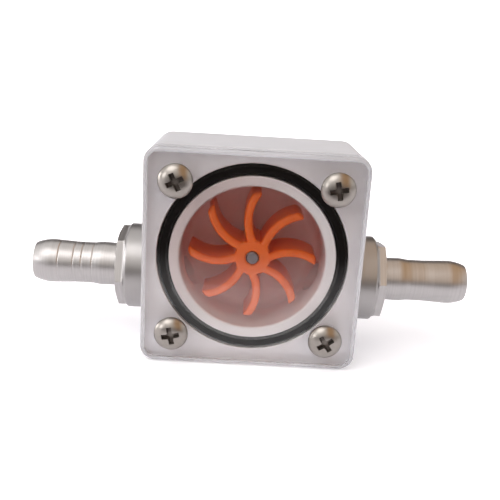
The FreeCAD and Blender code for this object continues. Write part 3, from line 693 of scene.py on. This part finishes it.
def fitting_grid(name, side):
    """A fitting as rings along its axis: a turned profile, except on the hexagon, where each ring is
    the smaller of the hexagon's own reach in that direction and the cone of its bevel. The tail runs
    straight between its steps, averaged over a short way to soften them, less a narrow bell for each
    mark that the tool left."""
    degrees = np.arange(360)
    off_flat = np.radians((degrees - hex_corner_angle[name]) % 60 - 30)
    hex_reach = hex_flat / np.cos(off_flat)
    hex_corner = hex_flat / math.cos(math.radians(30))
    flange_top = flange_radius - flange_chamfer
    spigot = eased([(port_bore, bore_seam), (port_bore, -spigot_length),
                    (spigot_radius - spigot_chamfer, -spigot_length),
                    (spigot_radius, -spigot_length + spigot_chamfer), (spigot_radius, 0),
                    (seal_inner, 0), (seal_inner, seal_depth), (seal_outer, seal_depth),
                    (seal_outer, 0), (flange_radius, 0),
                    (flange_radius, flange_thickness - flange_chamfer),
                    (flange_top, flange_thickness), (flange_top - flange_lip, flange_thickness)],
                   [bore_round, *[edge_break] * 7, *flange_rounds])
    hex_x = np.linspace(flange_thickness, hex_end, 26)[:, None]
    cone = hex_flat + (hex_end - hex_x) * (hex_corner - hex_flat) / hex_bevel
    foot = np.clip(hex_foot - (hex_x - flange_thickness), 0, None)
    side_reach = np.minimum(hex_reach + foot, flange_top + hex_overlap)
    hex_rows = hex_flat - hex_soft * np.log(np.exp(-(side_reach - hex_flat) / hex_soft)
                                            + np.exp(-(cone - hex_flat) / hex_soft))
    crest = tail_end - nose_length
    nose_drop = crest_radius - nose_radius
    nose_bow = (nose_length ** 2 + nose_drop ** 2) / (2 * nose_drop)
    along_nose = np.linspace(0, nose_length, 8)[1:-1]
    nose_curve = [(crest_radius - nose_bow + math.sqrt(nose_bow ** 2 - run ** 2), crest + run)
                  for run in along_nose]
    root_front = crest - fall_length
    root_back = root_front - root_length
    collar = root_back - collar_ramp
    knots = [(hex_end, neck_radius), (collar, crest_radius), (root_back, root_radius),
             (root_front, root_radius), (crest, crest_radius)]
    marks = tail_end - np.array(score_marks[name])[:, None]
    tail_x = np.unique(np.concatenate([np.linspace(hex_end, crest, 66),
                                       (marks + np.linspace(-score_reach, score_reach, 9)).ravel()]))
    tail_r = np.mean([np.interp(tail_x + shift, *np.array(knots).T)
                      for shift in np.linspace(-tail_blend, tail_blend, 9)], axis=0)
    tail_r -= (score_depth * np.exp(-((tail_x - marks) / score_half) ** 2)).sum(axis=0)
    nose = eased([(crest_radius, crest), *nose_curve, (nose_radius, tail_end), (port_bore, tail_end),
                  (port_bore, bore_seam)], [nose_round] * len(nose_curve) + nose_mouth_rounds)
    tail = np.concatenate([[(hex_flat - hex_lip, hex_end)], np.stack([tail_r, tail_x], axis=-1),
                           nose[1:]])
    columns = np.radians(degrees)
    radius = np.concatenate([np.repeat(spigot[:, :1], 360, axis=1), hex_rows,
                             np.repeat(tail[:, :1], 360, axis=1)])
    x = np.concatenate([spigot[:, 1:], hex_x, tail[:, 1:]])
    return np.stack([side * (half_width + x) + 0 * columns, port_y + radius * np.cos(columns),
                     port_z + radius * np.sin(columns)], axis=-1)


# Nickel-plated brass, turned: bright and a little warm, ringed by the tool. The feed is a tenth of a
# millimetre, drawn at a third so that it shows.
nickel, tree, shader, place = new_material("turned_nickel_plate", Metallic=1.0)
feed = 0.33
stretched = add_node(tree, "ShaderNodeMapping", {"Vector": place, "Scale": (1.0, 0.02, 0.02)})
lines = add_node(tree, "ShaderNodeTexNoise", {
    "Vector": stretched.outputs[0], "Scale": per_mm(feed), "Detail": 4.0, "Roughness": 0.6})
tone = add_node(tree, "ShaderNodeMix", {
    "Factor": lines.outputs[0], 6: linear("#a19e9e"), 7: linear("#c2bfbf")}, data_type="RGBA")
folded = add_node(tree, "ShaderNodeVectorMath", {0: place}, operation="ABSOLUTE")
split = add_node(tree, "ShaderNodeSeparateXYZ", {0: folded.outputs[0]})
past_flange = add_node(tree, "ShaderNodeMath", {
    0: split.outputs["X"], 1: (half_width + flange_thickness - flange_lip) * MM},
    operation="GREATER_THAN")
plated = add_node(tree, "ShaderNodeMix", {
    "Factor": past_flange.outputs[0], 6: linear("#a3a0a0"), 7: tone.outputs[2]}, data_type="RGBA")
tree.links.new(plated.outputs[2], shader.inputs["Base Color"])
polish = add_node(tree, "ShaderNodeMapRange", {
    "Value": lines.outputs[0], "To Min": 0.28, "To Max": 0.48})
tree.links.new(polish.outputs[0], shader.inputs["Roughness"])
relief = add_node(tree, "ShaderNodeBump", {
    "Height": lines.outputs[0], "Strength": 0.5, "Distance": 0.04 * MM})
tree.links.new(relief.outputs[0], shader.inputs["Normal"])

for name, side in (("inlet", -1), ("outlet", 1)):
    fitting = skin(f"{name}_fitting_turned", fitting_grid(name, side))
    smooth(fitting, crease=25)
    dress(fitting, nickel, "fitting_metal", "housing", f"{name}_fitting")

# Floor: a sheet of white card that the object stands on. It rises behind in one bend, so that no edge
# shows.
card_half, card_front, card_back, card_rise, card_bend = 1500.0, -1200.0, 800.0, 900.0, 300.0
card_gap = 0.2
shade_near, shade_far = 45.0, 110.0


def hung_sheet(name, half, run, rise):
    """A sheet as a grid: a line of y and z places carried from side to side."""
    across = np.linspace(-half, half, 9)
    points = np.stack(np.broadcast_arrays(across[None, :], run[:, None], rise[:, None]), axis=-1)
    rows, columns = points.shape[:2]
    row, column = np.meshgrid(np.arange(rows - 1), np.arange(columns - 1), indexing="ij")
    first = row * columns + column
    faces = np.stack([first, first + 1, first + 1 + columns, first + columns], axis=-1)
    mesh = bpy.data.meshes.new(name)
    mesh.from_pydata((points.reshape(-1, 3) * MM).tolist(), [], faces.reshape(-1, 4).tolist())
    mesh.shade_smooth()
    sheet = bpy.data.objects.new(name, mesh)
    bpy.context.scene.collection.objects.link(sheet)
    return sheet


bend = np.linspace(0, math.pi / 2, 24)
card_run = np.concatenate([[card_front, 0], card_back - card_bend * (1 - np.sin(bend)), [card_back]])
card_height = np.concatenate([[0, 0], card_bend * (1 - np.cos(bend)), [card_rise]]) - card_gap
card = hung_sheet("floor_card", card_half, card_run, card_height)

# White card: matt. Seen directly, or in metal and in the cover, it reads as white, and it keeps the
# shadow near the object.
card_tone = linear("#f1eff4")
card_white, tree, shader, place = new_material(
    "white_card", Base_Color=card_tone, Roughness=0.9, Emission_Color=linear("#ffffff"))
path = add_node(tree, "ShaderNodeLightPath")
seen = add_node(tree, "ShaderNodeMath", {
    0: path.outputs["Is Camera Ray"], 1: path.outputs["Is Glossy Ray"]}, operation="MAXIMUM")
seen = add_node(tree, "ShaderNodeMath", {
    0: seen.outputs[0], 1: path.outputs["Is Transmission Ray"]}, operation="MAXIMUM")
away = add_node(tree, "ShaderNodeVectorMath", {0: place}, operation="LENGTH")
clear = add_node(tree, "ShaderNodeMapRange", {
    "Value": away.outputs["Value"], "From Min": shade_near * MM, "From Max": shade_far * MM,
    "To Min": 0.3, "To Max": 0.8}, interpolation_type="SMOOTHSTEP")
through = add_node(tree, "ShaderNodeMapRange", {
    "Value": path.outputs["Is Transmission Ray"], "To Min": 0.25, "To Max": 0.95})
level = add_node(tree, "ShaderNodeMix", {
    "Factor": path.outputs["Is Camera Ray"], "A": through.outputs[0], "B": clear.outputs[0]})
glow = add_node(tree, "ShaderNodeMath", {0: seen.outputs[0], 1: level.outputs[0]}, operation="MULTIPLY")
tree.links.new(glow.outputs[0], shader.inputs["Emission Strength"])
card.data.materials.append(card_white)

# Flags: three sheets of dark felt outside the picture, one lying in front of the object, a low strip
# farther out and one hung above and behind. The first fades to the card's tone at its near edge. They
# show only in what the metal reflects and the cover lets through.
front_edge, front_fade = -60.0, 45.0
flag_felt, tree, shader, place = new_material("dark_felt", Roughness=0.95)
split = add_node(tree, "ShaderNodeSeparateXYZ", {0: place})
fade = add_node(tree, "ShaderNodeMapRange", {
    "Value": split.outputs["Y"], "From Min": (front_edge - front_fade) * MM,
    "From Max": front_edge * MM}, interpolation_type="SMOOTHSTEP")
ahead = add_node(tree, "ShaderNodeMath", {0: split.outputs["Y"], 1: 0.0}, operation="LESS_THAN")
faded = add_node(tree, "ShaderNodeMath", {
    0: fade.outputs[0], 1: ahead.outputs[0]}, operation="MULTIPLY")
tone = add_node(tree, "ShaderNodeMix", {
    "Factor": faded.outputs[0], 6: linear("#3a332f"), 7: card_tone}, data_type="RGBA")
tree.links.new(tone.outputs[2], shader.inputs["Base Color"])
for name, half, run, rise in (("front_flag", 130.0, (-450.0, front_edge), (2.0, 2.0)),
                              ("horizon_flag", 900.0, (-450.0, -450.0), (0.0, 70.0)),
                              ("back_flag", 600.0, (480.0, 480.0), (140.0, 520.0))):
    flag = hung_sheet(name, half, np.array(run), np.array(rise))
    flag.visible_camera = flag.visible_shadow = flag.visible_diffuse = False
    flag.data.materials.append(flag_felt)

# Room: pale walls, dimmer towards the floor, and to the right a strip whose warm colour shows only in
# what bright metal and the cover reflect. The camera itself sees plain white.
world = bpy.data.worlds.new("studio_room")
bpy.context.scene.world = world
world.use_nodes = True
tree = world.node_tree
background = tree.nodes["Background"]
facing = add_node(tree, "ShaderNodeTexCoord").outputs["Generated"]
split = add_node(tree, "ShaderNodeSeparateXYZ", {0: facing})
rightward = add_node(tree, "ShaderNodeMapRange", {
    "Value": split.outputs["X"], "From Min": 0.05, "From Max": 0.25}, interpolation_type="SMOOTHSTEP")
past_strip = add_node(tree, "ShaderNodeMapRange", {
    "Value": split.outputs["X"], "From Min": 0.6, "From Max": 0.9, "To Min": 1.0, "To Max": 0.0},
    interpolation_type="SMOOTHSTEP")
strip = add_node(tree, "ShaderNodeMath", {
    0: rightward.outputs[0], 1: past_strip.outputs[0]}, operation="MULTIPLY")
path = add_node(tree, "ShaderNodeLightPath")
strip_tone = add_node(tree, "ShaderNodeMix", {
    "Factor": path.outputs["Is Glossy Ray"], 6: linear("#c3bfba"), 7: linear("#d6aa76")},
    data_type="RGBA")
walls = add_node(tree, "ShaderNodeMix", {
    "Factor": strip.outputs[0], 6: linear("#fffcf8"), 7: strip_tone.outputs[2]}, data_type="RGBA")
lifted = add_node(tree, "ShaderNodeMapRange", {
    "Value": split.outputs["Z"], "From Min": 0.0, "From Max": 0.35, "To Min": 0.5, "To Max": 1.13},
    interpolation_type="SMOOTHSTEP")
seen = path.outputs["Is Camera Ray"]
colour = add_node(tree, "ShaderNodeMix", {
    "Factor": seen, 6: walls.outputs[2], 7: linear("#ffffff")}, data_type="RGBA")
strength = add_node(tree, "ShaderNodeMix", {"Factor": seen, "A": lifted.outputs[0], "B": 1.0})
tree.links.new(colour.outputs[2], background.inputs["Color"])
tree.links.new(strength.outputs[0], background.inputs["Strength"])

# Lamps: one large soft light high in front and to the left, and two panels farther left, one low and
# one forward of it, that show only as glints on bright metal.
for name, place, size, energy, colour in (
        ("window", (-0.42, -0.55, 0.9), 0.7, 4.0, "#fffefc"),
        ("low_panel", (-0.8, 0.1, 0.12), 0.3, 1.6, "#ffffff"),
        ("high_panel", (-0.73, -0.53, 0.25), 0.22, 1.0, "#ffffff")):
    lamp = bpy.data.lights.new(name, "AREA")
    lamp.size, lamp.energy, lamp.color = size, energy, linear(colour)[:3]
    stand = bpy.data.objects.new(name, lamp)
    toward = np.array((0, 0, centre_z * MM)) - place
    stand.location = place
    stand.rotation_euler = (math.atan2(math.hypot(toward[0], toward[1]), -toward[2]), 0,
                            math.atan2(-toward[0], toward[1]))
    stand.visible_diffuse = name == "window"
    bpy.context.scene.collection.objects.link(stand)

# Camera: close to the front and a little above, rolled slightly as the picture was taken. Fitted to the
# edges of the block.
lens = bpy.data.cameras.new("camera")
lens.lens, lens.sensor_width = 51.21, 36.0
camera = bpy.data.objects.new("camera", lens)
camera.location = (-3.021 * MM, -167.814 * MM, 70.864 * MM)
camera.rotation_euler = tuple(math.radians(angle) for angle in (74.314, -3.287, 0.053))
bpy.context.scene.collection.objects.link(camera)
bpy.context.scene.camera = camera
bpy.context.scene.view_settings.view_transform = "Standard"
